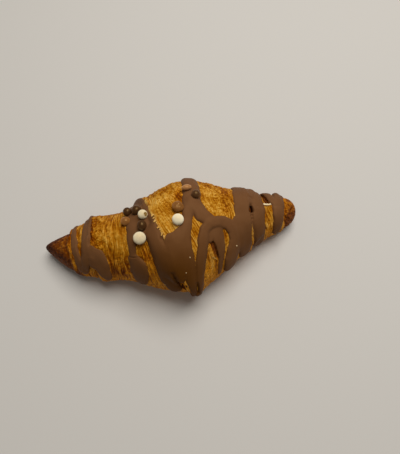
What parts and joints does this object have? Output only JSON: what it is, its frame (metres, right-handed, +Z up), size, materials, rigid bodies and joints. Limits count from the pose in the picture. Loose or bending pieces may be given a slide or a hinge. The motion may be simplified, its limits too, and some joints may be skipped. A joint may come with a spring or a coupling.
{
  "type": "chocolate-drizzled croissant",
  "caption": "Baked crescent pastry with rolled flaky laps, a thick poured chocolate drizzle and small crunchy pearls set in it, resting flat on its underside.",
  "frame": {"origin": "under the middle of the croissant's bounding box, on the surface it rests on", "axes": "+X along the length from the browned blunt tip to the striped tip, +Y to the back, +Z up"},
  "size_m": [0.15, 0.0688, 0.0494],
  "materials": {
    "pastry": "baked golden-brown flaky crust with a faint butter sheen",
    "chocolate": "set milk-chocolate drizzle, semi-matte",
    "white_pearl": "cream-white chocolate shell, satin",
    "milk_pearl": "milk chocolate shell, satin",
    "dark_pearl": "dark chocolate shell, satin"
  },
  "bodies": {
    "root": {"croissant": "pastry"}
  },
  "joints": []
}
